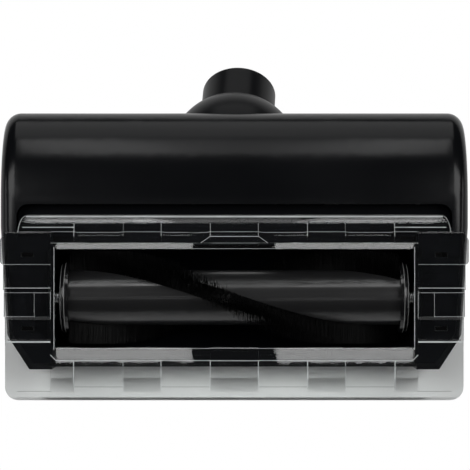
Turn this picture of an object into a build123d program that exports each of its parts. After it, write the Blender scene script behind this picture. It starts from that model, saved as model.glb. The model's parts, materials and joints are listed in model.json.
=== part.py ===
from build123d import *
from math import cos, hypot, radians, sin, tan
import os

os.makedirs("parts", exist_ok=True)

# Vacuum brush head, lying on its flat hood with the sole turned up.
# Directions: x across the head, y from the brush roll towards the neck, z out of the sole.
# The sole leans back by rest_tilt, because the hood slopes by that much. Millimetres and degrees.

# Rest and body
rest_tilt = 25.0
body_half = 118.0
flank_step = 3.3
nose_step = 11.7
shoulder_run = 9.1
shoulder_margin = 2.5
nose_length = 18.0
front_gap = 6.0
hump_radius = 47.9
hump_cover = 25.9
roof_z = -2.0
roof_rise = 31.0
nose_round = 8.0
edge_round = 8.0
wall = 3.0
end_wall = 5.0
rim_wall = 3.2
fit = 0.2
seat = 0.05
rise = 60.0
boss_radius = 3.5
screw_radius = 1.2
screw_head = 2.6
screw_sink = 0.9
screw_length = 6.0
screw_head_thick = 1.5
screw_inset = 16.5
screw_inner_x = 30.0

# Decks that carry the sole plate
deck_z = -5.0
deck_thick = 3.0
rear_deck_z = -9.0
rear_deck_thick = 2.5
recess_margin = 5.4
recess_gap = 4.0
recess_length = 14.0
roof_margin = 2.0
recess_round = 6.0
rear_sill_margin = 2.0

# Brush roll and its chamber
tip_reach = 1.5
core_radius = 14.0
core_bore = 9.0
tip_radius = 24.0
strip_width = 8.0
strip_root = 1.5
strip_twist = 1.38
strip_phase = 6.0
tip_clear = 3.0
chamber_wall = 2.5
mouth_drop = 1.5
cap_radius = 18.0
cap_length = 4.5
cap_plug = 8.0
cap_gap = 3.0
cap_edge = 2.7
strip_over = 2.0
section_count = 9
shaft_radius = 3.0
bearing_radius = 8.0
bearing_width = 5.0
bearing_gap = 0.3
bearing_rim = 1.2
bearing_hub = 1.5
bearing_dish = 0.5
bearing_seat = 3.0
run_fit = 0.05

# Drive
belt_width = 7.0
belt_thick = 2.0
belt_gap = 0.3
belt_side_gap = 0.3
roll_pulley_radius = 11.0
motor_pulley_radius = 5.5
pulley_lip = 1.6
pulley_lip_height = 1.2
pulley_side_gap = 0.4
pulley_gap = 0.5
pulley_groove = 0.5
drive_gap = 2.5
groove_count = 4
motor_offset = (28.5, -5.0)
motor_radius = 18.0
motor_gap = 4.3
bell_length = 6.0
motor_shaft_radius = 1.6
motor_boss = 6.5
motor_screw_ring = 12.5
motor_screw_head = 2.1
motor_screw_thick = 0.8
motor_edge = 1.5
bell_step = 0.6
bell_edge = 2.0
shaft_tail = 2.0
bracket_margin = 1.0
bracket_foot = 2.0
pad_inset = 8.0
pad_half = 10.8

# Neck joint
ball_drop = 36.0
ball_radius = 35.0
ball_wall = 2.5
ball_gap = 0.6
cup_wall = 2.6
root_gap = 0.4
neck_angle = 46.0
neck_lean = 3.0
neck_radius = 20.0
neck_wall = 2.5
neck_reach = 51.0
swivel_range = 12.0
pin_radius = 3.0
back_hole = 42.0
pin_cover = 1.0
trunnion_radius = 6.0
trunnion_length = 5.0
slot_margin = 1.0
root_skirt = 2.0
neck_edge = 0.8

# Air way
duct_half = 21.7
duct_top_gap = 1.0
duct_drop = 21.5
duct_gap = 5.3
duct_wall = 2.0
duct_end_radius = 20.0
duct_corner = 5.0
duct_overlap = 5.0

# Sole plate
plate_thick = 2.0
front_reach = 15.5
plate_rear_gap = 5.5
window_inset = 1.5
window_front_inset = 2.5
window_rear_inset = 2.0
frame_side = 2.0
frame_front = 3.5
frame_step = 3.0
frame_step_z = -1.4
frame_rear = 3.0
land_front_margin = 4.5
land_rear_margin = 3.5
land_inner_half = 12.1
land_mid = (36.6, 55.7)
land_outer_width = 11.7
land_z = -0.5
lip_width = 1.5
wing_gap = 0.7
wing_steps = (1.4, 1.9, 2.3)
wing_high_z = -1.0
wing_low_z = -2.4
cover_z = -1.2
cover_inner_z = -0.7
cover_width = 8.2
tongue_margin = 5.3
tongue_ys = (-15, 22)
plate_edge = 1.5
plate_edge_drop = 1.2
plate_front_round = 7.0
plate_rear_round = 3.0
plate_rear_taper = 2.5
plate_bend_run = (5.5, 3.5)
plate_bend_drop = (1.3, 3.7)
wing_front_y = -21.0
wing_mid_y = 4.5
wing_rear_y = 17.0
wing_rear_run = 1.5
wing_step_run = 0.6
wing_corner = (2.7, 4.0)
cover_front_y = -9.0
cover_length = 12.0
cover_front_run = 1.5
cover_rear_run = 3.0
land_front_run = 7.0
land_front_drop = 1.4
land_rear_run = 3.0
land_rear_drop = 0.4
land_end_z = -3.4
land_foot_z = -5.8
tongue_width = 6.0
tongue_thick = 2.0
tongue_length = 4.0

# Across the head: the belt drive fills the space between the chamber's end and the right flank
flank_half = body_half - flank_step
nose_half = flank_half - nose_step
recess_half = flank_half - recess_margin
pulley_width = belt_width + 2 * pulley_lip
chamber_half = flank_half - end_wall - drive_gap - pulley_width - pulley_gap - bearing_width
core_half = chamber_half - cap_length - cap_gap
belt_x = chamber_half + bearing_width + pulley_gap + pulley_lip
window_half = chamber_half - window_inset
screw_outer_x = chamber_half - screw_inset
screw_spots = [(-screw_outer_x, 0), (-screw_inner_x, 0), (screw_inner_x, 0), (screw_outer_x, 0)]

# Round the roll: its chamber, the window over it and the front wall before it
roll_z = tip_reach - tip_radius
mouth_z = roll_z - mouth_drop
chamber_radius = tip_radius + tip_clear
tunnel_outer = chamber_radius + chamber_wall
window_front_y = window_front_inset - chamber_radius
window_rear_y = chamber_radius - window_rear_inset
front_y = -tunnel_outer - front_gap
cheek_y = front_y + nose_length
recess_front_y = tunnel_outer + recess_gap
recess_rear_y = recess_front_y + recess_length
roof_y = recess_rear_y + roof_margin
flange_z = deck_z + plate_thick

# The ball joint stands behind the chamber, and the hump rounds off the body over the ball's front half
cup_inner = ball_radius + ball_gap
cup_outer = cup_inner + cup_wall
root_radius = ball_radius - ball_wall - root_gap
ball_y = tunnel_outer + duct_gap + cup_outer
ball_z = roll_z - ball_drop
hump_y = ball_y - hump_cover
hump_z = roof_z - roof_rise

# Distance from the roll line on the sole face to the hood's flat face
slope = radians(rest_tilt)
sole_height = hump_radius - hump_y * sin(slope) - hump_z * cos(slope)
shoulder_y = max(recess_front_y + shoulder_margin, hump_y - hump_radius * sin(slope) + shoulder_run)
sole = Plane(origin=(0, 0, sole_height), x_dir=(1, 0, 0), z_dir=(0, -sin(slope), cos(slope)))


def spot(x, y, z):
    """A point given in the head's own directions"""
    return sole.from_local_coords((x, y, z))


def side(x):
    """Plane across the head at x, whose sketch axes are y and z"""
    return Plane(origin=spot(x, 0, 0), x_dir=sole.y_dir, z_dir=sole.x_dir)


def lengthwise(y, z):
    """Plane through the line along x at y and z, whose sketch axes are x and z"""
    return Plane(origin=spot(0, y, z), x_dir=sole.x_dir, z_dir=-sole.y_dir)


def line_at(y, z):
    """The line along x at y and z"""
    return Axis(spot(0, y, z), sole.x_dir)


# The motor lies in the hump and fills the space between the ball's cup and the chamber's right end
motor_y = tunnel_outer + motor_offset[0]
motor_z = hump_z + motor_offset[1]
motor_front = chamber_half
motor_length = motor_front - bell_length - motor_gap - cup_outer - trunnion_length
motor_back = motor_front - motor_length
roll_line = line_at(0, roll_z)
motor_line = line_at(motor_y, motor_z)


def body_side(inset):
    """Side outline: front wall, flat sloping hood, round hump and the roof over it"""
    radius = hump_radius - inset
    top = roof_z - inset
    front = front_y + inset
    hood_end = (hump_y - radius * sin(slope), hump_z - radius * cos(slope))
    hood_front = (front, hood_end[1] + (hood_end[0] - front) * tan(slope))
    with BuildSketch(Plane.XY) as outline:
        with BuildLine():
            FilletPolyline((front, top), hood_front, hood_end, radius=nose_round - inset)
            CenterArc((hump_y, hump_z), radius, 270 - rest_tilt, 90 + rest_tilt)
            EllipticalCenterArc((roof_y, hump_z), hump_y + radius - roof_y, top - hump_z, 0, arc_size=90)
            Line((roof_y, top), (front, top))
        make_face()
    return outline.sketch


def body_plan(inset):
    """Plan outline: straight flanks that narrow forward and end in a slanted nose corner"""
    rear = hump_y + 2 * hump_radius
    front = 2 * front_y
    nose_run = (front - cheek_y) / (front_y - cheek_y)
    nose_slant = hypot(flank_half - nose_half, front_y - cheek_y) / (cheek_y - front_y)
    nose_x = flank_half - (flank_half - nose_half) * nose_run
    corners = [
        (body_half - inset, rear),
        (body_half - inset, shoulder_y),
        (flank_half - inset, cheek_y + (nose_slant - 1) * inset),
        (nose_x - nose_slant * inset, front),
    ]
    mirrored = [(-x, y) for x, y in reversed(corners)]
    with BuildSketch(Plane.XY) as outline:
        with BuildLine():
            Polyline(*corners, *mirrored, close=True)
        make_face()
    return outline.sketch


def body_form(inset, side_inset):
    """Solid of the whole body, drawn in by the given amounts"""
    with BuildPart() as form:
        with BuildSketch(side(-body_half)):
            add(body_side(inset))
        extrude(amount=2 * body_half)
        with BuildSketch(sole.offset(-2 * hump_radius)):
            add(body_plan(side_inset))
        extrude(amount=3 * hump_radius, mode=Mode.INTERSECT)
    return form.part


def front_deck(gap):
    """Opening in the body's sole side that the chamber moulding fills"""
    with BuildSketch(Plane.XY) as outline:
        add(body_plan(rim_wall + gap))
        with Locations((0, recess_front_y)):
            Rectangle(3 * body_half, 3 * body_half, align=(Align.CENTER, Align.MIN), mode=Mode.SUBTRACT)
        with Locations((0, front_y + wall + gap)):
            Rectangle(3 * body_half, 3 * body_half, align=(Align.CENTER, Align.MAX), mode=Mode.SUBTRACT)
    return outline.sketch


def rear_recess(gap):
    """The deeper rear recess that takes the sole plate's back edge"""
    depth = recess_rear_y - recess_front_y + recess_round
    with BuildSketch(Plane.XY) as outline:
        with Locations((0, recess_rear_y - gap - depth / 2)):
            RectangleRounded(2 * (recess_half - gap), depth, recess_round)
    return outline.sketch


# Ball joint: the neck points back and down, away from the sole
ball_centre = spot(0, ball_y, ball_z)
tilt = radians(neck_angle)
neck_direction = sole.y_dir * sin(tilt) - sole.z_dir * cos(tilt)
knuckle_plane = Plane(origin=ball_centre, x_dir=sole.x_dir, z_dir=neck_direction)
lean = radians(neck_lean)
neck_plane = Plane(
    origin=ball_centre,
    x_dir=sole.x_dir * cos(lean) - neck_direction * sin(lean),
    z_dir=neck_direction * cos(lean) + sole.x_dir * sin(lean),
)

# Duct direction: from the ball to the chamber's rear wall
duct_top_z = rear_deck_z - duct_top_gap
duct_low_z = roll_z - duct_drop
duct_mouth_z = (duct_top_z + duct_low_z) / 2
duct_start_y = tunnel_outer
duct_run = Vector(0, ball_y - duct_start_y, ball_z - duct_mouth_z)
duct_direction = (sole.y_dir * duct_run.Y + sole.z_dir * duct_run.Z).normalized()
duct_end_plane = Plane(
    origin=ball_centre - duct_direction * (cup_inner - duct_overlap), x_dir=sole.x_dir, z_dir=duct_direction
)
duct_start_plane = Plane(
    origin=spot(0, duct_start_y - duct_overlap, duct_mouth_z), x_dir=sole.x_dir, z_dir=sole.y_dir
)


def duct_form(grow):
    """Air way that goes from the chamber's flat mouth to the round opening at the ball"""
    with BuildPart() as form:
        with BuildSketch(duct_start_plane):
            RectangleRounded(2 * (duct_half + grow), duct_top_z - duct_low_z + 2 * grow, duct_corner + grow)
        with BuildSketch(duct_end_plane):
            Circle(duct_end_radius + grow)
        loft()
    return form.part


def ball_form(radius):
    """Ball about the centre of the neck joint"""
    with BuildPart(Plane.XY) as form:
        with Locations(ball_centre):
            Sphere(radius)
    return form.part


# Screw bosses stand on the hood under the chamber
screw_seat_z = roll_z - chamber_radius - screw_sink
boss_top_z = roll_z - chamber_radius - chamber_wall

# Back shell: hood, flanks, round hump and roof in one moulding
with BuildPart() as back_shell:
    add(body_form(0, 0))
    end_faces = faces().filter_by(lambda f: abs(f.normal_at().dot(sole.z_dir)) < 0.01).filter_by(
        lambda f: abs(sole.to_local_coords(f.center()).X) > flank_half - flank_step
    )
    fillet(
        end_faces.edges().filter_by(lambda e: abs(e.tangent_at(0.5).dot(sole.z_dir)) < 0.98),
        radius=edge_round,
    )
    add(body_form(wall, end_wall), mode=Mode.SUBTRACT)
    with BuildSketch(sole.offset(deck_z)):
        with Locations((0, recess_front_y)):
            Rectangle(3 * body_half, 3 * recess_front_y, align=(Align.CENTER, Align.MAX))
    extrude(amount=rise, mode=Mode.SUBTRACT)
    with BuildSketch(sole.offset(rear_deck_z - 2 * rear_deck_thick)):
        add(front_deck(0))
        add(rear_recess(0))
    extrude(amount=rise, mode=Mode.SUBTRACT)
    with BuildSketch(sole.offset(mouth_z)):
        with Locations((0, front_y)):
            Rectangle(2 * chamber_half, 4 * wall)
    extrude(amount=rise, mode=Mode.SUBTRACT)
    for x, y in screw_spots:
        with BuildSketch(Plane(origin=spot(x, y, boss_top_z), x_dir=sole.x_dir, z_dir=-sole.z_dir)):
            Circle(boss_radius)
        extrude(amount=(sole_height - wall / 2) / cos(slope) + boss_top_z)
        with BuildSketch(Plane(origin=spot(x, y, boss_top_z), x_dir=sole.x_dir, z_dir=-sole.z_dir)):
            Circle(screw_radius)
        extrude(amount=screw_length, mode=Mode.SUBTRACT)
    add(ball_form(cup_inner), mode=Mode.SUBTRACT)
back_shell.part.label = "back_shell"
export_step(back_shell.part, "parts/back_shell.step")

# Tongues of the sole plate go through slots in the front deck
tongue_x = recess_half - tongue_margin
tongue_spots = [(x, y) for x in (-tongue_x, tongue_x) for y in tongue_ys]

# Chamber moulding: brush tunnel, end walls, decks and the seat of the air way
wall_outer = chamber_half + chamber_wall
sill_half = flank_half - wall_outer - rim_wall - rear_sill_margin
with BuildSketch(Plane.XY) as tunnel_side:
    with Locations((0, roll_z)):
        Circle(tunnel_outer)
    with Locations((tunnel_outer / 2, (roll_z + rear_deck_z) / 2)):
        Rectangle(tunnel_outer, rear_deck_z - roll_z)
    with Locations((0, mouth_z)):
        Rectangle(4 * tunnel_outer, rise, align=(Align.MAX, Align.MIN), mode=Mode.SUBTRACT)
    with Locations((front_y + wall, mouth_z)):
        Rectangle(-front_y - wall - chamber_radius / 2, chamber_wall, align=(Align.MIN, Align.MAX))
    with Locations((0, rear_deck_z)):
        Rectangle(4 * tunnel_outer, tunnel_outer, align=(Align.CENTER, Align.MIN), mode=Mode.SUBTRACT)
with BuildSketch(Plane.XY) as tunnel_hollow:
    with Locations((0, roll_z)):
        Circle(chamber_radius)
    with Locations((0, roll_z)):
        Rectangle(2 * chamber_radius, 2 * chamber_radius, align=(Align.CENTER, Align.MIN))
with BuildSketch(Plane.XY) as end_wall_side:
    with Locations((0, roll_z)):
        Circle(tunnel_outer)
    with Locations((front_y + wall + fit, deck_z)):
        Rectangle(recess_front_y - front_y - wall - 2 * fit, deck_z - roll_z, align=(Align.MIN, Align.MAX))
    make_hull()
    with Locations((0, deck_z)):
        Rectangle(4 * tunnel_outer, tunnel_outer, align=(Align.CENTER, Align.MIN), mode=Mode.SUBTRACT)
with BuildPart() as chassis:
    with BuildSketch(side(-wall_outer)):
        add(tunnel_side.sketch)
    extrude(amount=2 * wall_outer)
    for x in (-wall_outer, chamber_half):
        with BuildSketch(side(x)):
            add(end_wall_side.sketch)
        extrude(amount=chamber_wall)
    with BuildSketch(sole.offset(deck_z - deck_thick)):
        add(front_deck(fit))
        Rectangle(2 * chamber_half, 3 * recess_front_y, mode=Mode.SUBTRACT)
    extrude(amount=deck_thick)
    with BuildSketch(sole.offset(rear_deck_z - rear_deck_thick)):
        add(rear_recess(fit))
        with Locations((0, chamber_radius)):
            Rectangle(3 * body_half, 4 * body_half, align=(Align.CENTER, Align.MAX), mode=Mode.SUBTRACT)
    extrude(amount=rear_deck_thick)
    with BuildSketch(sole.offset(rear_deck_z - rear_deck_thick)):
        sill_y = recess_front_y - chamber_wall
        with Locations((-wall_outer, sill_y), (wall_outer, sill_y)):
            Rectangle(2 * sill_half, chamber_wall, align=(Align.CENTER, Align.MIN))
    extrude(amount=deck_z - rear_deck_z + rear_deck_thick)
    with BuildSketch(side(-chamber_half)):
        add(tunnel_hollow.sketch)
    extrude(amount=2 * chamber_half, mode=Mode.SUBTRACT)
    add(duct_form(0), mode=Mode.SUBTRACT)
    for x in (-wall_outer, wall_outer):
        with BuildSketch(side(min(x, x + (bearing_width - chamber_wall) * (1 if x > 0 else -1)))):
            with Locations((0, roll_z)):
                Circle(bearing_radius + bearing_seat)
        extrude(amount=bearing_width - chamber_wall)
    with BuildSketch(side(-wall_outer - bearing_width)):
        with Locations((0, roll_z)):
            Circle(bearing_radius)
    extrude(amount=2 * (wall_outer + bearing_width), mode=Mode.SUBTRACT)
    for x, y in screw_spots:
        with BuildSketch(Plane(origin=spot(x, y, screw_seat_z), x_dir=sole.x_dir, z_dir=sole.z_dir)):
            Circle(screw_head + fit)
        extrude(amount=screw_head_thick, mode=Mode.SUBTRACT)
        with BuildSketch(Plane(origin=spot(x, y, screw_seat_z), x_dir=sole.x_dir, z_dir=-sole.z_dir)):
            Circle(screw_radius + fit)
        extrude(amount=chamber_wall, mode=Mode.SUBTRACT)
    with BuildSketch(sole.offset(deck_z)):
        with Locations(*tongue_spots):
            Rectangle(tongue_width + 2 * fit, tongue_thick + 2 * fit)
    extrude(amount=-deck_thick, mode=Mode.SUBTRACT)
chassis.part.label = "chassis"
export_step(chassis.part, "parts/chassis.step")

# Chamber screws, one group of four
with BuildPart() as chassis_screws:
    for x, y in screw_spots:
        with BuildSketch(Plane(origin=spot(x, y, screw_seat_z), x_dir=sole.x_dir, z_dir=sole.z_dir)):
            Circle(screw_head)
        extrude(amount=screw_head_thick)
        with BuildSketch(Plane(origin=spot(x, y, screw_seat_z), x_dir=sole.x_dir, z_dir=-sole.z_dir)):
            Circle(screw_radius)
        extrude(amount=screw_length)
chassis_screws.part.label = "chassis_screws"
export_step(chassis_screws.part, "parts/chassis_screws.step")

# Air duct sleeve between the chamber's rear wall and the ball cup
with BuildPart() as air_duct:
    add(duct_form(duct_wall))
    add(duct_form(0), mode=Mode.SUBTRACT)
    with BuildSketch(side(-body_half)):
        with Locations((0, roll_z)):
            Circle(tunnel_outer + seat)
    extrude(amount=2 * body_half, mode=Mode.SUBTRACT)
    with BuildSketch(side(-body_half)):
        with Locations((tunnel_outer + seat, rear_deck_z - rear_deck_thick)):
            Rectangle(4 * tunnel_outer, 2 * rise, align=(Align.MAX, Align.CENTER))
        with Locations((0, rear_deck_z - rear_deck_thick)):
            Rectangle(4 * tunnel_outer, rise, align=(Align.CENTER, Align.MIN))
    extrude(amount=2 * body_half, mode=Mode.SUBTRACT)
    add(ball_form(cup_outer + seat), mode=Mode.SUBTRACT)
air_duct.part.label = "air_duct"
export_step(air_duct.part, "parts/air_duct.step")

# Cup that carries the ball inside the hump
with BuildPart() as ball_cup:
    add(ball_form(cup_outer))
    with BuildSketch(side(-cup_outer - trunnion_length)):
        with Locations((ball_y, ball_z)):
            Circle(trunnion_radius)
    extrude(amount=2 * (cup_outer + trunnion_length))
    add(body_form(wall + seat, end_wall), mode=Mode.INTERSECT)
    add(ball_form(cup_inner), mode=Mode.SUBTRACT)
    add(duct_form(0), mode=Mode.SUBTRACT)
    with BuildSketch(side(-body_half)):
        with Locations((ball_y, ball_z)):
            Circle(pin_radius)
    extrude(amount=2 * body_half, mode=Mode.SUBTRACT)
ball_cup.part.label = "ball_cup"
export_step(ball_cup.part, "parts/ball_cup.step")

# Tilt pins, pressed into the cup and running in the knuckle
with BuildPart() as tilt_pins:
    for x in (-cup_outer - trunnion_length, ball_radius - ball_wall):
        with BuildSketch(side(x)):
            with Locations((ball_y, ball_z)):
                Circle(pin_radius)
        extrude(amount=cup_outer + trunnion_length - ball_radius + ball_wall)
tilt_pins.part.label = "tilt_pins"
export_step(tilt_pins.part, "parts/tilt_pins.step")

# Knuckle: a hollow ball in two halves, with a slot for the neck and a round air hole behind
slot_half = ball_radius * sin(radians(swivel_range + neck_lean)) + neck_radius + slot_margin
hole_radius = ball_radius * sin(radians(back_hole))
knuckle_split = Plane(origin=ball_centre, x_dir=knuckle_plane.x_dir, z_dir=knuckle_plane.y_dir)
with BuildPart() as knuckle:
    add(ball_form(ball_radius))
    add(ball_form(ball_radius - ball_wall), mode=Mode.SUBTRACT)
    with BuildSketch(knuckle_plane):
        SlotOverall(2 * slot_half, 2 * (neck_radius + root_gap))
    extrude(amount=ball_radius, mode=Mode.SUBTRACT)
    with BuildSketch(knuckle_plane):
        Circle(hole_radius)
    extrude(amount=-ball_radius, mode=Mode.SUBTRACT)
    with BuildSketch(side(-body_half)):
        with Locations((ball_y, ball_z)):
            Circle(pin_radius + run_fit)
    extrude(amount=2 * body_half, mode=Mode.SUBTRACT)
    with BuildSketch(knuckle_split):
        Circle(pin_radius)
    extrude(amount=ball_radius - pin_cover, both=True, mode=Mode.SUBTRACT)
with BuildPart() as knuckle_lower:
    add(knuckle.part)
    split(bisect_by=knuckle_split, keep=Keep.TOP)
knuckle_lower.part.label = "knuckle_lower"
export_step(knuckle_lower.part, "parts/knuckle_lower.step")
with BuildPart() as knuckle_upper:
    add(knuckle.part)
    split(bisect_by=knuckle_split, keep=Keep.BOTTOM)
knuckle_upper.part.label = "knuckle_upper"
export_step(knuckle_upper.part, "parts/knuckle_upper.step")

# Swivel pins between the knuckle halves and the neck's root
root_inner = root_radius - neck_wall
with BuildPart() as swivel_pins:
    for start in (-ball_radius + pin_cover, root_inner):
        with BuildSketch(knuckle_split.offset(start)):
            Circle(pin_radius)
        extrude(amount=ball_radius - pin_cover - root_inner)
swivel_pins.part.label = "swivel_pins"
export_step(swivel_pins.part, "parts/swivel_pins.step")

# Neck: the pipe that takes the wand, moulded with its hollow round root
with BuildPart() as neck_pipe:
    add(ball_form(root_radius))
    with BuildSketch(neck_plane):
        Circle(neck_radius)
    extrude(amount=neck_reach)
    add(ball_form(root_inner), mode=Mode.SUBTRACT)
    with BuildSketch(neck_plane):
        Circle(neck_radius - neck_wall)
    extrude(amount=neck_reach, mode=Mode.SUBTRACT)
    with BuildSketch(neck_plane.offset(-pin_radius - root_skirt)):
        Circle(2 * ball_radius)
    extrude(amount=-2 * ball_radius, mode=Mode.SUBTRACT)
    with BuildSketch(knuckle_split):
        Circle(pin_radius + run_fit)
    extrude(amount=ball_radius, both=True, mode=Mode.SUBTRACT)
    end_edges = edges().filter_by(GeomType.CIRCLE).sort_by(Axis(ball_centre, neck_plane.z_dir))[-2:]
    chamfer(end_edges, length=neck_edge)
neck_pipe.part.label = "neck_pipe"
export_step(neck_pipe.part, "parts/neck_pipe.step")


def strip_loft(width, low, high, phase):
    """Helical strip about the roll, lofted through turned sections from end to end"""
    with BuildPart() as strip:
        for i in range(section_count):
            x = -core_half + 2 * core_half * i / (section_count - 1)
            angle = phase + strip_twist * x
            with BuildSketch(side(x)):
                with Locations(Location((0, roll_z, 0), (0, 0, angle))):
                    with Locations(((low + high) / 2, 0)):
                        Rectangle(high - low, width)
        loft()
    return strip.part


# Brush core: a tube with two helical grooves and a stepped bore at each end
phases = [90 + strip_phase, 270 + strip_phase]
with BuildPart() as brush_core:
    with BuildSketch(side(-core_half)):
        with Locations((0, roll_z)):
            Circle(core_radius)
            Circle(core_bore, mode=Mode.SUBTRACT)
    extrude(amount=2 * core_half)
    for phase in phases:
        groove = strip_loft(strip_width, core_radius - strip_root, core_radius + strip_over, phase)
        add(groove, mode=Mode.SUBTRACT)
brush_core.part.label = "brush_core"
export_step(brush_core.part, "parts/brush_core.step")

# Bristle strips, set in the grooves
for number, phase in enumerate(phases, start=1):
    with BuildPart() as bristle_strip:
        add(strip_loft(strip_width, core_radius - strip_root, tip_radius, phase))
    bristle_strip.part.label = f"bristle_strip_{number}"
    export_step(bristle_strip.part, f"parts/bristle_strip_{number}.step")

# End caps, plugged into the core's bore, and their shafts and bearings
for hand, name in ((-1, "left"), (1, "right")):
    shaft_end = wall_outer + bearing_width if hand < 0 else belt_x + pulley_width
    outward = Plane(origin=spot(0, 0, roll_z), x_dir=sole.y_dir, z_dir=sole.x_dir * hand)
    with BuildPart() as end_cap:
        with BuildSketch(outward.offset(core_half)):
            Circle(cap_radius)
        extrude(amount=cap_length)
        fillet(edges().group_by(Axis(spot(0, 0, roll_z), sole.x_dir * hand))[-1], radius=cap_edge)
        with BuildSketch(outward.offset(core_half - cap_plug)):
            Circle(core_bore)
        extrude(amount=cap_plug)
        with BuildSketch(outward.offset(core_half - cap_plug)):
            Circle(shaft_radius)
        extrude(amount=cap_plug + cap_length, mode=Mode.SUBTRACT)
    end_cap.part.label = f"end_cap_{name}"
    export_step(end_cap.part, f"parts/end_cap_{name}.step")
    with BuildPart() as roll_shaft:
        with BuildSketch(outward.offset(core_half - cap_plug)):
            Circle(shaft_radius)
        extrude(amount=shaft_end - core_half + cap_plug)
    roll_shaft.part.label = f"roll_shaft_{name}"
    export_step(roll_shaft.part, f"parts/roll_shaft_{name}.step")
    with BuildPart() as bearing:
        with BuildSketch(outward.offset(chamber_half + bearing_gap)):
            Circle(bearing_radius)
            Circle(shaft_radius + run_fit, mode=Mode.SUBTRACT)
        extrude(amount=bearing_width - bearing_gap)
        with BuildSketch(outward.offset(chamber_half + bearing_width)):
            Circle(bearing_radius - bearing_rim)
            Circle(shaft_radius + bearing_hub, mode=Mode.SUBTRACT)
        extrude(amount=-bearing_dish, mode=Mode.SUBTRACT)
    bearing.part.label = f"bearing_{name}"
    export_step(bearing.part, f"parts/bearing_{name}.step")


def pulley_side(radius, bore):
    """Half section of a grooved pulley with a lip at each end, from the belt's inner side outward"""
    start = belt_x - pulley_lip
    inner = belt_x - pulley_side_gap
    step = belt_width / (2 * groove_count)
    lip = radius + pulley_lip_height
    points = [(start, bore), (start, lip), (inner, lip), (inner, radius)]
    for i in range(groove_count):
        points.append((belt_x + (2 * i + 0.5) * step, radius))
        points.append((belt_x + (2 * i + 1) * step, radius - pulley_groove))
        points.append((belt_x + (2 * i + 1.5) * step, radius))
    outer = belt_x + belt_width + pulley_side_gap
    end = belt_x + belt_width + pulley_lip
    points += [(outer, radius), (outer, lip), (end, lip), (end, bore)]
    with BuildSketch(Plane.XY) as outline:
        with BuildLine():
            Polyline(*points, close=True)
        make_face()
    return outline.sketch


# Roll pulley on the right shaft
with BuildPart() as roll_pulley:
    with BuildSketch(lengthwise(0, roll_z)):
        add(pulley_side(roll_pulley_radius, shaft_radius))
    revolve(axis=roll_line)
roll_pulley.part.label = "roll_pulley"
export_step(roll_pulley.part, "parts/roll_pulley.step")

# Motor pulley and shaft
with BuildPart() as motor_pulley:
    with BuildSketch(lengthwise(motor_y, motor_z)):
        add(pulley_side(motor_pulley_radius, motor_shaft_radius))
    revolve(axis=motor_line)
motor_pulley.part.label = "motor_pulley"
export_step(motor_pulley.part, "parts/motor_pulley.step")

with BuildPart() as motor_shaft:
    with BuildSketch(side(motor_back - bell_length - shaft_tail)):
        with Locations((motor_y, motor_z)):
            Circle(motor_shaft_radius)
    extrude(amount=belt_x + belt_width + pulley_lip - motor_back + bell_length + shaft_tail)
motor_shaft.part.label = "motor_shaft"
export_step(motor_shaft.part, "parts/motor_shaft.step")

# Motor can with its front boss, and the plastic end bell behind it
with BuildPart() as motor_can:
    with BuildSketch(side(motor_back)):
        with Locations((motor_y, motor_z)):
            Circle(motor_radius)
    extrude(amount=motor_length)
    fillet(edges().filter_by(GeomType.CIRCLE).sort_by(Axis.X)[-1], radius=motor_edge)
    with BuildSketch(side(motor_front)):
        with Locations((motor_y, motor_z)):
            Circle(motor_boss)
    extrude(amount=chamber_wall)
    with BuildSketch(side(motor_back)):
        with Locations((motor_y, motor_z)):
            Circle(motor_shaft_radius + run_fit)
    extrude(amount=motor_length + chamber_wall, mode=Mode.SUBTRACT)
    with BuildSketch(side(motor_front)):
        with Locations((motor_y, motor_z)):
            with PolarLocations(motor_screw_ring, 2, start_angle=45):
                Circle(screw_radius)
    extrude(amount=-screw_length, mode=Mode.SUBTRACT)
motor_can.part.label = "motor_can"
export_step(motor_can.part, "parts/motor_can.step")

with BuildPart() as motor_end_bell:
    with BuildSketch(side(motor_back)):
        with Locations((motor_y, motor_z)):
            Circle(motor_radius - bell_step)
            Circle(motor_shaft_radius + run_fit, mode=Mode.SUBTRACT)
    extrude(amount=-bell_length)
    back_circles = edges().filter_by(GeomType.CIRCLE).group_by(Axis.X)[0]
    fillet(back_circles.sort_by(SortBy.RADIUS)[-1], radius=bell_edge)
motor_end_bell.part.label = "motor_end_bell"
export_step(motor_end_bell.part, "parts/motor_end_bell.step")

# Motor bracket: the chamber's right end wall goes on behind the chamber and takes the motor's face
with BuildSketch(Plane.XY) as bracket_side:
    with Locations((motor_y, motor_z)):
        Circle(motor_radius + bracket_margin)
    with Locations((recess_front_y, rear_deck_z - rear_deck_thick)):
        Rectangle(motor_y - recess_front_y, bracket_foot, align=(Align.MIN, Align.MAX))
    make_hull()
    with Locations((motor_y, motor_z)):
        Circle(motor_boss + run_fit, mode=Mode.SUBTRACT)
        with PolarLocations(motor_screw_ring, 2, start_angle=45):
            Circle(screw_radius + fit, mode=Mode.SUBTRACT)
with BuildPart() as motor_bracket:
    with BuildSketch(side(motor_front)):
        add(bracket_side.sketch)
    extrude(amount=chamber_wall)
motor_bracket.part.label = "motor_bracket"
export_step(motor_bracket.part, "parts/motor_bracket.step")

with BuildPart() as motor_screws:
    with BuildSketch(side(motor_front + chamber_wall)):
        with Locations((motor_y, motor_z)):
            with PolarLocations(motor_screw_ring, 2, start_angle=45):
                Circle(motor_screw_head)
    extrude(amount=motor_screw_thick)
    with BuildSketch(side(motor_front + chamber_wall)):
        with Locations((motor_y, motor_z)):
            with PolarLocations(motor_screw_ring, 2, start_angle=45):
                Circle(screw_radius)
    extrude(amount=-screw_length)
motor_screws.part.label = "motor_screws"
export_step(motor_screws.part, "parts/motor_screws.step")

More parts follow.
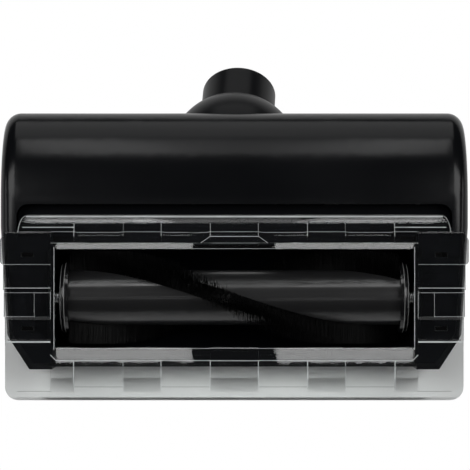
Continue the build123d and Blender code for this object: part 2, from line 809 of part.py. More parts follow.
# Motor pad: rubber saddle between the can and the rear deck
with BuildPart() as motor_pad:
    with BuildSketch(side(motor_back + pad_inset)):
        with Locations((motor_y, motor_z)):
            Rectangle(2 * pad_half, rear_deck_z - rear_deck_thick - motor_z, align=(Align.CENTER, Align.MIN))
            Circle(motor_radius, mode=Mode.SUBTRACT)
    extrude(amount=motor_length - 2 * pad_inset)
motor_pad.part.label = "motor_pad"
export_step(motor_pad.part, "parts/motor_pad.step")


def belt_side(grow):
    """Loop outline round both pulleys"""
    with BuildSketch(Plane.XY) as outline:
        with Locations((0, roll_z)):
            Circle(roll_pulley_radius + belt_gap + grow)
        with Locations((motor_y, motor_z)):
            Circle(motor_pulley_radius + belt_gap + grow)
        make_hull()
    return outline.sketch


# Drive belt
with BuildPart() as drive_belt:
    with BuildSketch(side(belt_x + belt_side_gap)):
        add(belt_side(belt_thick))
        add(belt_side(0), mode=Mode.SUBTRACT)
    extrude(amount=belt_width - 2 * belt_side_gap)
drive_belt.part.label = "drive_belt"
export_step(drive_belt.part, "parts/drive_belt.step")

# Sole plate: one clear moulding with a raised window frame, lands, channels and stepped wings
wing_half = body_half - wing_gap
wing_rear, wing_middle, wing_front = [wing_half - step for step in wing_steps]
frame_half = window_half + frame_side
cover_half = frame_half + cover_width
land_outer_start = frame_half - land_outer_width
seat_y = recess_front_y + seat
flange_front_y = front_y - front_reach
plate_rear_y = recess_rear_y - plate_rear_gap
land_front_y = flange_front_y + land_front_margin
land_rear_y = plate_rear_y - land_rear_margin
plate_rear_z = rear_deck_z + plate_thick
plate_bend = (plate_rear_y - plate_bend_run[0], flange_z - plate_bend_drop[0])
plate_bend_under = (plate_rear_y - plate_bend_run[1], flange_z - plate_bend_drop[1])
plate_right = [
    (wing_front, flange_front_y),
    (wing_front, cover_front_y),
    (wing_middle, cover_front_y),
    (wing_middle, wing_mid_y),
    (wing_rear, wing_mid_y),
    (wing_rear, wing_rear_y),
    (wing_half, wing_rear_y + wing_rear_run),
    (wing_half, recess_front_y - wing_corner[1]),
    (wing_half - wing_corner[0], recess_front_y),
    (recess_half, recess_front_y),
    (recess_half - plate_rear_taper, plate_rear_y),
]
plate_left = [(-x, y) for x, y in reversed(plate_right)]
with BuildSketch(Plane.XY) as plate_outline:
    with BuildLine():
        Polyline(*plate_right, *plate_left, close=True)
    make_face()
    fillet(plate_outline.vertices().sort_by(Axis.Y)[:2], radius=plate_front_round)
    fillet(plate_outline.vertices().sort_by(Axis.Y)[-2:], radius=plate_rear_round)
with BuildSketch(Plane.XY) as plate_side:
    with BuildLine():
        Polyline(
            (seat_y, deck_z),
            (flange_front_y, deck_z),
            (flange_front_y, flange_z - plate_edge_drop),
            (flange_front_y + plate_edge, flange_z),
            (window_rear_y + frame_rear, flange_z),
        )
        ThreePointArc((window_rear_y + frame_rear, flange_z), plate_bend, (plate_rear_y, plate_rear_z))
        Line((plate_rear_y, plate_rear_z), (plate_rear_y, rear_deck_z))
        ThreePointArc((plate_rear_y, rear_deck_z), plate_bend_under, (seat_y, deck_z))
    make_face()
with BuildSketch(Plane.XY) as wing_side:
    with BuildLine():
        Polyline(
            (flange_front_y, deck_z),
            (flange_front_y, flange_z - plate_edge_drop),
            (flange_front_y + plate_edge, flange_z),
            (wing_front_y, flange_z),
            (wing_front_y + wing_step_run, wing_low_z),
            (cover_front_y - cover_front_run, wing_low_z),
            (cover_front_y, cover_z),
            (cover_front_y + cover_length, cover_z),
            (cover_front_y + cover_length + cover_rear_run, wing_low_z),
            (wing_rear_y, wing_low_z),
            (wing_rear_y + wing_step_run, wing_high_z),
            (recess_front_y - wing_step_run, wing_high_z),
            (recess_front_y, wing_high_z - wing_step_run),
            (recess_front_y, deck_z),
            close=True,
        )
    make_face()
with BuildSketch(Plane.XY) as front_land:
    with BuildLine():
        Polyline(
            (window_front_y - lip_width, deck_z),
            (land_front_y, deck_z),
            (land_front_y, land_z - land_front_drop),
            (land_front_y + land_front_run, land_z),
            (window_front_y - lip_width, land_z),
            close=True,
        )
    make_face()
with BuildSketch(Plane.XY) as rear_land:
    with BuildLine():
        Polyline(
            (window_rear_y + lip_width, deck_z),
            (window_rear_y + lip_width, land_z),
            (window_rear_y + frame_rear + land_rear_run, land_z - land_rear_drop),
            (land_rear_y, land_end_z),
            (land_rear_y, land_foot_z),
            (recess_front_y, deck_z),
            close=True,
        )
    make_face()
land_spans = [
    (-land_inner_half, land_inner_half),
    land_mid,
    (-land_mid[1], -land_mid[0]),
    (land_outer_start, frame_half),
    (-frame_half, -land_outer_start),
]
with BuildPart() as sole_plate:
    with BuildSketch(side(-recess_half)):
        add(plate_side.sketch)
    extrude(amount=2 * recess_half)
    for x in (-wing_half, frame_half):
        with BuildSketch(side(x)):
            add(wing_side.sketch)
        extrude(amount=wing_half - frame_half)
    with BuildSketch(sole.offset(deck_z)):
        add(plate_outline.sketch)
    extrude(amount=2 * deck_z, both=True, mode=Mode.INTERSECT)
    with BuildSketch(sole.offset(deck_z)):
        with Locations((0, window_front_y - frame_front)):
            Rectangle(2 * frame_half, window_rear_y + frame_rear - window_front_y + frame_front,
                      align=(Align.CENTER, Align.MIN))
    extrude(amount=-deck_z)
    with BuildSketch(sole.offset(deck_z)):
        with Locations((0, window_front_y)):
            Rectangle(2 * frame_half, frame_front + frame_step, align=(Align.CENTER, Align.MAX))
        chamfer(vertices().sort_by(Axis.Y)[:2], length=frame_step)
    extrude(amount=frame_step_z - deck_z)
    for start, end in land_spans:
        with BuildSketch(sole.offset(land_z)):
            with Locations((start, window_front_y - lip_width)):
                Rectangle(end - start, frame_front + frame_step, align=(Align.MIN, Align.MAX))
            with Locations((start, window_rear_y + lip_width)):
                Rectangle(end - start, frame_rear, align=(Align.MIN, Align.MIN))
        extrude(amount=rise, mode=Mode.SUBTRACT)
        with BuildSketch(side(start)):
            add(front_land.sketch)
            add(rear_land.sketch)
        extrude(amount=end - start)
    for x in (-cover_half, frame_half):
        with BuildSketch(side(x)):
            with Locations((cover_front_y, cover_inner_z)):
                Rectangle(cover_length, cover_inner_z - deck_z, align=(Align.MIN, Align.MAX))
        extrude(amount=cover_width)
    with BuildSketch(sole.offset(deck_z)):
        with Locations(*tongue_spots):
            Rectangle(tongue_width, tongue_thick)
    extrude(amount=-tongue_length)
    with BuildSketch(sole.offset(deck_z)):
        with Locations((0, window_front_y)):
            Rectangle(2 * window_half, window_rear_y - window_front_y, align=(Align.CENTER, Align.MIN))
    extrude(amount=3 * deck_z, both=True, mode=Mode.SUBTRACT)
sole_plate.part.label = "sole_plate"
export_step(sole_plate.part, "parts/sole_plate.step")
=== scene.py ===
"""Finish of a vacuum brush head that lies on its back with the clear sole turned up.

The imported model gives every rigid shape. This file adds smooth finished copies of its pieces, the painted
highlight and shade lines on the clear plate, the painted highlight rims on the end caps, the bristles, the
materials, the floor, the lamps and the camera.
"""

import json
import math

import bpy
import numpy as np
from mathutils import Matrix, Vector


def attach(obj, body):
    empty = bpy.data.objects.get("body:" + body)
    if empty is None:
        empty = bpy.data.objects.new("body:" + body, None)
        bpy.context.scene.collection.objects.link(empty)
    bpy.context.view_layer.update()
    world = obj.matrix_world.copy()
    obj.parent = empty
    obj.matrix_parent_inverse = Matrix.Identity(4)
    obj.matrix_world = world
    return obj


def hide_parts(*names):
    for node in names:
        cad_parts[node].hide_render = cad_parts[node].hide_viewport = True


bl_info = {
    "name": "Vacuum brush head finish",
    "version": (1, 0, 0),
    "blender": (4, 5, 0),
    "location": "View3D > Sidebar > Brush head",
    "description": "Dresses the brush head's moulded, metal and bristle pieces and sets its stage",
    "category": "Object",
}

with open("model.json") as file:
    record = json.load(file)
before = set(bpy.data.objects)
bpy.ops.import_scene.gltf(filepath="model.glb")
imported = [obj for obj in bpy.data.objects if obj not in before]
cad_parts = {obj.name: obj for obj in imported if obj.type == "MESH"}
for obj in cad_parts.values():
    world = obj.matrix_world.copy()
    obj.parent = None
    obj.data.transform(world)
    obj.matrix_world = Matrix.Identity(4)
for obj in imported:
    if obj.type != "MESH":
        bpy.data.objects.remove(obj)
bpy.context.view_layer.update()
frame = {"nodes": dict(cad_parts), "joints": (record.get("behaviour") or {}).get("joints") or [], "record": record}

# The sole leans back by this much while the head lies on its hood
SOLE_LEAN = math.radians(25.0)
# Directions across the head, towards its neck and out of its sole
SOLE_X = Vector((1, 0, 0))
SOLE_Y = Vector((0, math.cos(SOLE_LEAN), math.sin(SOLE_LEAN)))
SOLE_Z = Vector((0, -math.sin(SOLE_LEAN), math.cos(SOLE_LEAN)))
# The roll's centre line lies this far under the sole's face
ROLL_DEPTH = 0.0225
ROLL_CENTRE = Vector(next(j for j in frame["joints"] if j["name"] == "brush_spin")["pos_m"])
SOLE_CENTRE = ROLL_CENTRE + SOLE_Z * ROLL_DEPTH

# Mesh corners are compared in micrometres
MICROMETRES_PER_METRE = 1e6
# Faces that meet at more than this angle in degrees keep a sharp edge
SHARP_ANGLE = 32.0
PLATE_SHARP_ANGLE = 8.0
# Width of the rounding along the plate's sharp edges
PLATE_ROUNDING = 0.00030

# Scales of the noises in the materials, and the height of moulded grain
PATCH_SCALE = 18.0
HAZE_SCALE = 60.0
FROST_AND_HIGHLIGHT_SCALE = 120.0
GRAIN_HEIGHT = 0.0002

# Painted highlight and shade lines on the plate: short pieces in each, thickness, and gap to the plate
LINE_PIECES = 60
LINE_THICKNESS = 0.00008
LINE_GAP = 0.00001
# The plate's rear bend, taken as a parabola from this line and height, in millimetres
BEND_START = 28.0
BEND_Z = -3.0
BEND_RATE = 0.0192
# The painted highlight line round the plate's rear corner is part of an ellipse: centre and half axes, and turn in
# radians
CORNER_CENTRE = (105.4, 30.2)
CORNER_AXES = (3.4, 11.2)
CORNER_TURN = 1.3
# The flange's lands and channels meet at these distances from the middle and end at these two in turn
FLANGE_STEPS = (12.1, 36.6, 55.7, 80.3)
FLANGE_ENDS = (-46.4, -44.2)
# The painted shade line at their ends stops here, before the flange's corner
FLANGE_LINE_END = 109.0

# Painted highlight rims on the end caps: places along the roll, radii, and radius of the thin tube
RIM_PLACES = (0.0858, 0.0877)
RIM_RADII = (0.0180, 0.0172)
RIM_TUBE = 0.00016

# Bristle strips: half the length, radii at root and tip, width, and place of each strip round the roll
STRIP_HALF_LENGTH = 0.0835
STRIP_ROOT = 0.0127
STRIP_TIP = 0.0240
STRIP_WIDTH = 0.0072
STRIP_PHASES = (96.0, 276.0)
# Share of the width that the rows fill, and spread of the places as shares of pitch and width
ROWS_SHARE = 0.85
PITCH_SPREAD = 0.35
WIDTH_SPREAD = 0.04
# Spread of the lean round the roll, in radians, and along it, as a slope
LEAN_SPREAD = 0.040
SLOPE_SPREAD = 0.035
# Largest loss of length, and loss of thickness from root to tip, as shares
LENGTH_LOSS = 0.05
TAPER = 0.45
# The seeds of the strips' random draws follow this number
SEED_BASE = 40

# Floor: length of a side, and gap to the head that lies on it
FLOOR_SIZE = 6.0
FLOOR_GAP = 0.0003

# Narrow lamp strips that the plate's flat faces mirror: place, length, and depth and width of each
LAMP_STRIP_X = 0.1105
LAMP_STRIP_Z = 0.9
LAMP_STRIP_LENGTH = 0.137
LAMP_STRIPS = {"front": (-0.0875, 0.0155), "rear": (0.0195, 0.0145)}
# The middle panel behind the hump is dimmer than its neighbours by this factor
MIDDLE_SHARE = 0.40

# Camera: its place over the sole, sensor width in millimetres, and the picture's scale at the sole's face
CAMERA_X = 0.00035
CAMERA_Y = 0.032
SENSOR_WIDTH = 36.0
PIXELS_ACROSS = 470
PIXELS_PER_METRE = 2000


def spot(x, y, z):
    """A point given across the head, towards its neck and out of its sole, in metres"""
    return SOLE_CENTRE + SOLE_X * x + SOLE_Y * y + SOLE_Z * z


def sole_offsets(x, y, z):
    """Offsets x, y and z along the head's directions, as one array of world vectors"""
    return np.stack([x, y, z], axis=-1) @ np.array((SOLE_X, SOLE_Y, SOLE_Z))


class HousingLook(bpy.types.PropertyGroup):
    """Colours and grain of the black mouldings"""

    shell_colour: bpy.props.FloatVectorProperty(
        name="Shell colour", description="Colour of the housing and the neck",
        subtype="COLOR", size=3, min=0, max=1, default=(0.0030, 0.0033, 0.0040))
    chamber_colour: bpy.props.FloatVectorProperty(
        name="Chamber colour", description="Colour of the chamber moulding",
        subtype="COLOR", size=3, min=0, max=1, default=(0.0018, 0.0021, 0.0030))
    shell_roughness: bpy.props.FloatProperty(
        name="Shell roughness", description="How satin the housing is",
        subtype="FACTOR", min=0, max=1, default=0.19)
    grain_size: bpy.props.FloatProperty(
        name="Grain size", description="Width of one grain of the moulded texture",
        subtype="DISTANCE", unit="LENGTH", min=1e-5, max=1e-2, default=0.0006)


class ClearLook(bpy.types.PropertyGroup):
    """Clear plastic of the sole plate"""

    tint: bpy.props.FloatVectorProperty(
        name="Tint", description="Colour of light that has passed the plate",
        subtype="COLOR", size=3, min=0, max=1, default=(0.93, 0.945, 0.94))
    roughness: bpy.props.FloatProperty(
        name="Roughness", description="How hazy the plate is",
        subtype="FACTOR", min=0, max=1, default=0.014)
    refraction: bpy.props.FloatProperty(
        name="Refraction", description="Refractive index of the plastic", min=1, max=2, default=1.49)
    waviness: bpy.props.FloatProperty(
        name="Waviness", description="Height of the faint waves in the moulded faces",
        subtype="DISTANCE", unit="LENGTH", min=0, max=0.001, default=0.000018)


class RollLook(bpy.types.PropertyGroup):
    """Brush roll: colours of its parts, and bristles"""

    core_colour: bpy.props.FloatVectorProperty(
        name="Core colour", description="Colour of the roll's core",
        subtype="COLOR", size=3, min=0, max=1, default=(0.0105, 0.0105, 0.011))
    cap_colour: bpy.props.FloatVectorProperty(
        name="Cap colour", description="Colour of the roll's end caps",
        subtype="COLOR", size=3, min=0, max=1, default=(0.004, 0.004, 0.0045))
    # Pale rim colour: a painted highlight on the caps' rounded edges
    rim_highlight_colour: bpy.props.FloatVectorProperty(
        name="Rim colour", description="Colour of the worn rims on the end caps",
        subtype="COLOR", size=3, min=0, max=1, default=(0.20, 0.20, 0.20))
    bristle_colour: bpy.props.FloatVectorProperty(
        name="Bristle colour", description="Colour of the bristles",
        subtype="COLOR", size=3, min=0, max=1, default=(0.0015, 0.0015, 0.0016))
    bristle_thick: bpy.props.FloatProperty(
        name="Bristle thickness", description="Diameter of one bristle",
        subtype="DISTANCE", unit="LENGTH", min=1e-4, max=2e-3, default=0.00032)
    bristle_pitch: bpy.props.FloatProperty(
        name="Bristle pitch", description="Distance between bristles along the roll",
        subtype="DISTANCE", unit="LENGTH", min=3e-4, max=5e-3, default=0.00048)
    rows: bpy.props.IntProperty(
        name="Rows", description="Rows of bristles in one strip", min=1, max=16, default=10)
    turn_per_length: bpy.props.FloatProperty(
        name="Twist", description="Turn of a strip for each metre along the roll, in degrees",
        min=0, max=5000, default=1380.0)


class StageLook(bpy.types.PropertyGroup):
    """Floor, lamps and camera"""

    floor_colour: bpy.props.FloatVectorProperty(
        name="Floor colour", description="Colour of the floor",
        subtype="COLOR", size=3, min=0, max=1, default=(0.80, 0.80, 0.80))
    camera_distance: bpy.props.FloatProperty(
        name="Camera distance", description="Distance from the sole's face to the camera",
        subtype="DISTANCE", unit="LENGTH", min=0.3, max=3, default=0.9)
    strip_power: bpy.props.FloatProperty(
        name="Strip power", description="Power of each narrow lamp strip, in watts per metre of its width",
        min=0, max=100, default=1.45)
    side_power: bpy.props.FloatProperty(
        name="Side power", description="Power of each large lamp panel at the sides",
        unit="POWER", min=0, max=100, default=4.5)
    rear_power: bpy.props.FloatProperty(
        name="Rear power", description="Power of each lamp panel behind the hump",
        unit="POWER", min=0, max=100, default=0.62)
    wall_power: bpy.props.FloatProperty(
        name="Wall power", description="Power of the dim wall behind the head",
        unit="POWER", min=0, max=100, default=2.1)
    low_power: bpy.props.FloatProperty(
        name="Low power", description="Power of each low lamp strip beside the head",
        unit="POWER", min=0, max=100, default=0.5)
    fill: bpy.props.FloatProperty(
        name="Fill", description="Strength of the light from all round",
        min=0, max=2, default=0.03)


def new_material(name):
    """New node material, with its node list, link list and main shader"""
    material = bpy.data.materials.new(name)
    material.use_nodes = True
    nodes = material.node_tree.nodes
    shader = next(n for n in nodes if n.type == "BSDF_PRINCIPLED")
    return material, nodes, material.node_tree.links, shader


def object_noise(nodes, links, scale):
    """Noise node that reads Object coordinates at the given scale"""
    place = nodes.new("ShaderNodeTexCoord")
    noise = nodes.new("ShaderNodeTexNoise")
    noise.inputs["Scale"].default_value = scale
    links.new(place.outputs["Object"], noise.inputs["Vector"])
    return noise


def noise_range(nodes, links, noise, socket, low, high, from_low=0.0, from_high=1.0):
    """Lets a noise set the socket's value between low and high"""
    ramp = nodes.new("ShaderNodeMapRange")
    ramp.inputs["From Min"].default_value = from_low
    ramp.inputs["From Max"].default_value = from_high
    ramp.inputs["To Min"].default_value = low
    ramp.inputs["To Max"].default_value = high
    links.new(noise.outputs["Fac"], ramp.inputs["Value"])
    links.new(ramp.outputs["Result"], socket)


def blend_colour(nodes, links, noise, shader, dark, light):
    """Lets a noise mix the shader's base colour from two colours"""
    mix = nodes.new("ShaderNodeMix")
    mix.data_type = "RGBA"
    mix.inputs["A"].default_value = (*dark, 1)
    mix.inputs["B"].default_value = (*light, 1)
    links.new(noise.outputs["Fac"], mix.inputs["Factor"])
    links.new(mix.outputs["Result"], shader.inputs["Base Color"])


def bump_from(nodes, links, noise, shader, strength, distance):
    """Lets a noise raise the shader's surface"""
    relief = nodes.new("ShaderNodeBump")
    relief.inputs["Strength"].default_value = strength
    relief.inputs["Distance"].default_value = distance
    links.new(noise.outputs["Fac"], relief.inputs["Height"])
    links.new(relief.outputs["Normal"], shader.inputs["Normal"])


def moulded_plastic(name, colour, roughness, grain, bump=0.12, specular=0.5):
    """Black or coloured plastic: fine moulded grain, slight patches in colour and gloss"""
    material, nodes, links, shader = new_material(name)
    shader.inputs["Specular IOR Level"].default_value = specular
    fine = object_noise(nodes, links, 1.0 / grain)
    fine.inputs["Detail"].default_value = 3
    patches = object_noise(nodes, links, PATCH_SCALE)
    noise_range(nodes, links, patches, shader.inputs["Roughness"], roughness - 0.05, roughness + 0.06)
    darker, lighter = ([min(1, c * share) for c in colour] for share in (0.75, 1.25))
    blend_colour(nodes, links, patches, shader, darker, lighter)
    bump_from(nodes, links, fine, shader, bump, GRAIN_HEIGHT)
    return material


def gloss_coat(material, weight, smoothest, roughest):
    """Thin gloss over a plastic, smoother in some patches than in others"""
    nodes, links = material.node_tree.nodes, material.node_tree.links
    shader = next(n for n in nodes if n.type == "BSDF_PRINCIPLED")
    shader.inputs["Coat Weight"].default_value = weight
    patches = object_noise(nodes, links, HAZE_SCALE)
    noise_range(
        nodes, links, patches, shader.inputs["Coat Roughness"], smoothest, roughest,
        from_low=0.35, from_high=0.65)


def clear_plastic(name, look):
    """Clear moulded plastic: sharp refraction, faint haze and faint waves"""
    material, nodes, links, shader = new_material(name)
    shader.inputs["Base Color"].default_value = (*look.tint, 1)
    shader.inputs["Transmission Weight"].default_value = 1.0
    shader.inputs["IOR"].default_value = look.refraction
    haze = object_noise(nodes, links, HAZE_SCALE)
    noise_range(nodes, links, haze, shader.inputs["Roughness"], look.roughness * 0.6, look.roughness * 1.6)
    bump_from(nodes, links, haze, shader, 1.0, look.waviness)
    see_through(nodes, links, shader, look.tint)
    return material


def edge_highlight_plastic(name, look):
    """Painted highlight for the clear moulding's edges: a pale, half-clear material, rough in patches, that shows
    them as pale lines
    """
    material, nodes, links, shader = new_material(name)
    shader.inputs["Transmission Weight"].default_value = 0.55
    shader.inputs["IOR"].default_value = look.refraction
    frost_and_highlight = object_noise(nodes, links, FROST_AND_HIGHLIGHT_SCALE)
    noise_range(nodes, links, frost_and_highlight, shader.inputs["Roughness"], 0.25, 0.55)
    # The noise sets the roughness and mixes the pale colour of the painted highlight
    blend_colour(nodes, links, frost_and_highlight, shader, (0.55, 0.57, 0.58), (0.95, 0.97, 0.97))
    see_through(nodes, links, shader, look.tint)
    return material


def see_through(nodes, links, shader, tint):
    """Lets lamp light through the clear material, so that what lies under it is lit"""
    path = nodes.new("ShaderNodeLightPath")
    clear = nodes.new("ShaderNodeBsdfTransparent")
    clear.inputs["Color"].default_value = (*tint, 1)
    mix = nodes.new("ShaderNodeMixShader")
    output = next(n for n in nodes if n.type == "OUTPUT_MATERIAL")
    links.new(path.outputs["Is Shadow Ray"], mix.inputs["Fac"])
    links.new(shader.outputs["BSDF"], mix.inputs[1])
    links.new(clear.outputs["BSDF"], mix.inputs[2])
    links.new(mix.outputs["Shader"], output.inputs["Surface"])


def brushed_metal(name, colour, roughness):
    """Turned steel: fine lines round the shafts and other pieces that lie across the head"""
    material, nodes, links, shader = new_material(name)
    shader.inputs["Base Color"].default_value = (*colour, 1)
    shader.inputs["Metallic"].default_value = 1.0
    place = nodes.new("ShaderNodeTexCoord")
    stretch = nodes.new("ShaderNodeMapping")
    stretch.inputs["Scale"].default_value = (3000, 120, 120)
    lines = nodes.new("ShaderNodeTexNoise")
    lines.inputs["Scale"].default_value = 1.0
    links.new(place.outputs["Object"], stretch.inputs["Vector"])
    links.new(stretch.outputs["Vector"], lines.inputs["Vector"])
    noise_range(nodes, links, lines, shader.inputs["Roughness"], roughness - 0.08, roughness + 0.12)
    return material


def paint(obj, material):
    """Gives the piece one material"""
    obj.data.materials.clear()
    obj.data.materials.append(material)


def add_mesh(name, verts, faces, material, body):
    """New piece from a vertex array and a list of faces, riding on a body"""
    mesh = bpy.data.meshes.new(name)
    mesh.from_pydata(verts.tolist(), [], faces)
    mesh.update()
    obj = bpy.data.objects.new(name, mesh)
    bpy.context.collection.objects.link(obj)
    paint(obj, material)
    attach(obj, body)
    return obj


def body_holding(node):
    """Name of the body that a node belongs to"""
    return next(b for b, members in frame["record"]["behaviour"]["bodies"].items() if node in members)


def smooth_copy(node, material, angle=SHARP_ANGLE):
    """Merged copy of a node's mesh, smooth up to the angle.

    Corners that agree to a micrometre become one vertex. Triangles that lose a corner by it are left out.
    """
    source = frame["nodes"][node].data
    count = len(source.vertices)
    points = np.empty(count * 3, np.float32)
    source.vertices.foreach_get("co", points)
    keys = np.round(points.reshape(-1, 3) * MICROMETRES_PER_METRE).astype(np.int64)
    _, first, place = np.unique(keys, axis=0, return_index=True, return_inverse=True)
    corners = np.empty(len(source.loops), np.int32)
    source.loops.foreach_get("vertex_index", corners)
    faces = place.reshape(-1)[corners].reshape(-1, 3)
    real = (faces[:, 0] != faces[:, 1]) & (faces[:, 1] != faces[:, 2]) & (faces[:, 0] != faces[:, 2])
    obj = add_mesh(
        f"{node}_finish", points.reshape(-1, 3)[first], faces[real].tolist(), material, body_holding(node))
    obj.data.shade_smooth()
    obj.data.set_sharp_from_angle(angle=math.radians(angle))
    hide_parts(node)
    return obj


def soften(obj, width, edge_highlight_material):
    """Rounds the piece's sharp edges by the width and gives them the painted highlight material"""
    obj.data.materials.append(edge_highlight_material)
    bevel = obj.modifiers.new("edges", "BEVEL")
    bevel.material = 1
    bevel.limit_method = "ANGLE"
    bevel.angle_limit = math.radians(30)
    bevel.width = width
    bevel.segments = 2
    bevel.harden_normals = True


class BRUSHHEAD_OT_housing(bpy.types.Operator):
    """Dress the housing, the ball and the neck in satin black plastic"""

    bl_idname = "brushhead.housing"
    bl_label = "Housing and neck"

    def execute(self, context):
        look = context.scene.brushhead_housing
        shell = moulded_plastic(
            "housing_black", look.shell_colour, look.shell_roughness, look.grain_size,
            bump=0.06, specular=0.22)
        neck = moulded_plastic(
            "neck_black", look.shell_colour, roughness=0.30, grain=look.grain_size,
            bump=0.06, specular=0.12)
        smooth_copy("back_shell", shell)
        for node in ("knuckle_upper", "knuckle_lower", "neck_pipe"):
            smooth_copy(node, neck)
        return {"FINISHED"}


class BRUSHHEAD_OT_chamber(bpy.types.Operator):
    """Dress the chamber moulding, the air duct and the ball cup"""

    bl_idname = "brushhead.chamber"
    bl_label = "Chamber and air way"

    def execute(self, context):
        look = context.scene.brushhead_housing
        inner = moulded_plastic(
            "chamber_black", look.chamber_colour, roughness=0.5, grain=look.grain_size * 1.5,
            specular=0.04)
        for node in ("chassis", "air_duct", "ball_cup"):
            smooth_copy(node, inner)
        return {"FINISHED"}


class BRUSHHEAD_OT_plate(bpy.types.Operator):
    """Dress the clear sole plate"""

    bl_idname = "brushhead.plate"
    bl_label = "Clear sole plate"

    def execute(self, context):
        look = context.scene.brushhead_clear
        plate = smooth_copy("sole_plate", clear_plastic("sole_clear", look), angle=PLATE_SHARP_ANGLE)
        # The plate's rounded edges get the painted edge highlight
        soften(plate, PLATE_ROUNDING, edge_highlight_plastic("sole_edge_highlights", look))
        return {"FINISHED"}


def ribbon_field(starts, ends, widths):
    """Flat ribbons near the sole plate, one per row of the arrays, in short pieces that can follow it.

    A ribbon runs from start s to end e. With unit run d = (e - s) / |e - s|, sole normal n and side
    b = n x d, the point at the share t along it and the share w across it is s + t (e - s) + w width b,
    for w from -1/2 to 1/2.
    """
    along = np.linspace(0, 1, LINE_PIECES + 1)
    across = np.array((-0.5, 0.0, 0.5))
    run = ends - starts
    side = np.cross(np.array(SOLE_Z), run / np.linalg.norm(run, axis=1, keepdims=True))
    middle = starts[:, None, :] + along[None, :, None] * run[:, None, :]
    reach = (widths[:, None] * side)[:, None, None, :]
    verts = middle[:, :, None, :] + across[None, None, :, None] * reach
    index = np.arange(verts[..., 0].size).reshape(verts.shape[:3])
    faces = np.stack(
        [index[:, :-1, :-1], index[:, 1:, :-1], index[:, 1:, 1:], index[:, :-1, 1:]], axis=-1)
    return verts.reshape(-1, 3), faces.reshape(-1, 4).tolist()


def lay_on(obj, target):
    """Lays the line piece on the target's surface and gives it its thickness"""
    wrap = obj.modifiers.new("on_surface", "SHRINKWRAP")
    wrap.target = target
    wrap.wrap_method = "NEAREST_SURFACEPOINT"
    wrap.wrap_mode = "ABOVE_SURFACE"
    wrap.offset = LINE_GAP
    slab = obj.modifiers.new("thickness", "SOLIDIFY")
    slab.thickness = LINE_THICKNESS
    slab.offset = 1.0


def plate_highlight_lines():
    """Painted highlight lines along the plate's edges: x and y at both ends, height z and width, written in
    millimetres
    """
    one_hand = [
        (92, 17.0, 116.0, 17.0, -1.7, 0.26), (92, 5.4, 115.4, 5.4, -2.1, 0.26),
        (92, 3.1, 115.4, 3.1, -1.2, 0.12), (92, -8.9, 115.2, -8.9, -1.2, 0.14),
        (92, -21.65, 114.6, -21.65, -3.0, 0.75), (100.2, 3.0, 100.2, -9.0, -1.2, 0.08),
        (92.0, 27.5, 92.0, -30.0, -0.7, 0.20), (90.2, 26.0, 90.2, -25.5, 0.0, 0.24),
        (92.0, -28.0, 89.0, -31.0, -0.5, 0.35), (0, -30.9, 89.0, -30.9, -0.4, 0.30),
        (0, -24.7, 87.5, -24.7, 0.0, 0.14),
        (0, 41.95, 105.5, 41.95, -6.9, 0.14), (0, 41.25, 105.0, 41.25, -6.5, 1.0),
        (80.3, 35.9, 92.0, 35.9, -2.5, 0.30), (92.0, 35.9, 106.4, 35.9, -4.05, 0.30),
        (0, 33.6, 109.0, 33.6, -1.8, 0.12),
        (0, 28.0, 92.0, 28.0, -0.3, 0.14), (0, 25.2, 21.0, 25.2, 0.0, 0.14),
        (0, 31.3, 12.2, 31.3, -1.0, 0.22), (12.2, 31.3, 17.0, 27.9, -3.1, 0.16),
    ]
    # Sides of the lands on the flange and of those behind the window, whose lines are narrower
    for x, width in zip(FLANGE_STEPS, (0.42, 0.55, 0.22, 0.60)):
        one_hand.append((x, -31.0, x, -45.5, -0.5, width))
        one_hand.append((x, 38.5, x, 28.3, -1.2, width * 0.6))
    turn = np.linspace(0, CORNER_TURN, 8)
    curve = np.array(CORNER_CENTRE) + np.array(CORNER_AXES) * np.stack([np.sin(turn), np.cos(turn)], axis=1)
    for start, end in zip(curve[:-1], curve[1:]):
        past_bend = (start[1] + end[1]) / 2 - BEND_START
        one_hand.append((*start, *end, BEND_Z - BEND_RATE * past_bend ** 2, 0.22))
    return both_hands(one_hand)


def plate_shade_lines():
    """Thin painted shade lines where the flange's lands and channels end, in rows like the painted highlight lines
    """
    stops = (0, *FLANGE_STEPS, FLANGE_LINE_END)
    one_hand = []
    for number, (start, stop) in enumerate(zip(stops[:-1], stops[1:])):
        y = FLANGE_ENDS[number % 2]
        one_hand.append((start, y, stop, y, -3.0, 0.14))
    return both_hands(one_hand)


def both_hands(rows):
    """The rows, in metres, and their mirror images across the head's middle"""
    rows = np.array(rows)
    return np.concatenate([rows, rows * np.array([-1, 1, -1, 1, 1, 1])]) / 1000


class BRUSHHEAD_OT_plate_lines(bpy.types.Operator):
    """Lay the painted highlight lines and the painted shade lines on the clear sole plate"""

    bl_idname = "brushhead.ridges"
    bl_label = "Sole plate edge lines"

    def execute(self, context):
        # Pale ribbons: painted highlights along the plate's edges and bends
        pale = edge_highlight_plastic("sole_ridges", context.scene.brushhead_clear)
        # Dark ribbons: painted shade where the flange's steps end
        dark = moulded_plastic(
            "sole_grooves", (0.05, 0.055, 0.055), roughness=0.5, grain=0.002, bump=0.0)
        for name, rows, material in (
                ("sole_ridges", plate_highlight_lines(), pale), ("sole_grooves", plate_shade_lines(), dark)):
            x_start, y_start, x_end, y_end, z, widths = rows.T
            starts = np.array(SOLE_CENTRE) + sole_offsets(x_start, y_start, z)
            ends = np.array(SOLE_CENTRE) + sole_offsets(x_end, y_end, z)
            verts, faces = ribbon_field(starts, ends, widths)
            lines = add_mesh(name, verts, faces, material, "housing")
            lay_on(lines, bpy.data.objects["sole_plate_finish"])
        return {"FINISHED"}


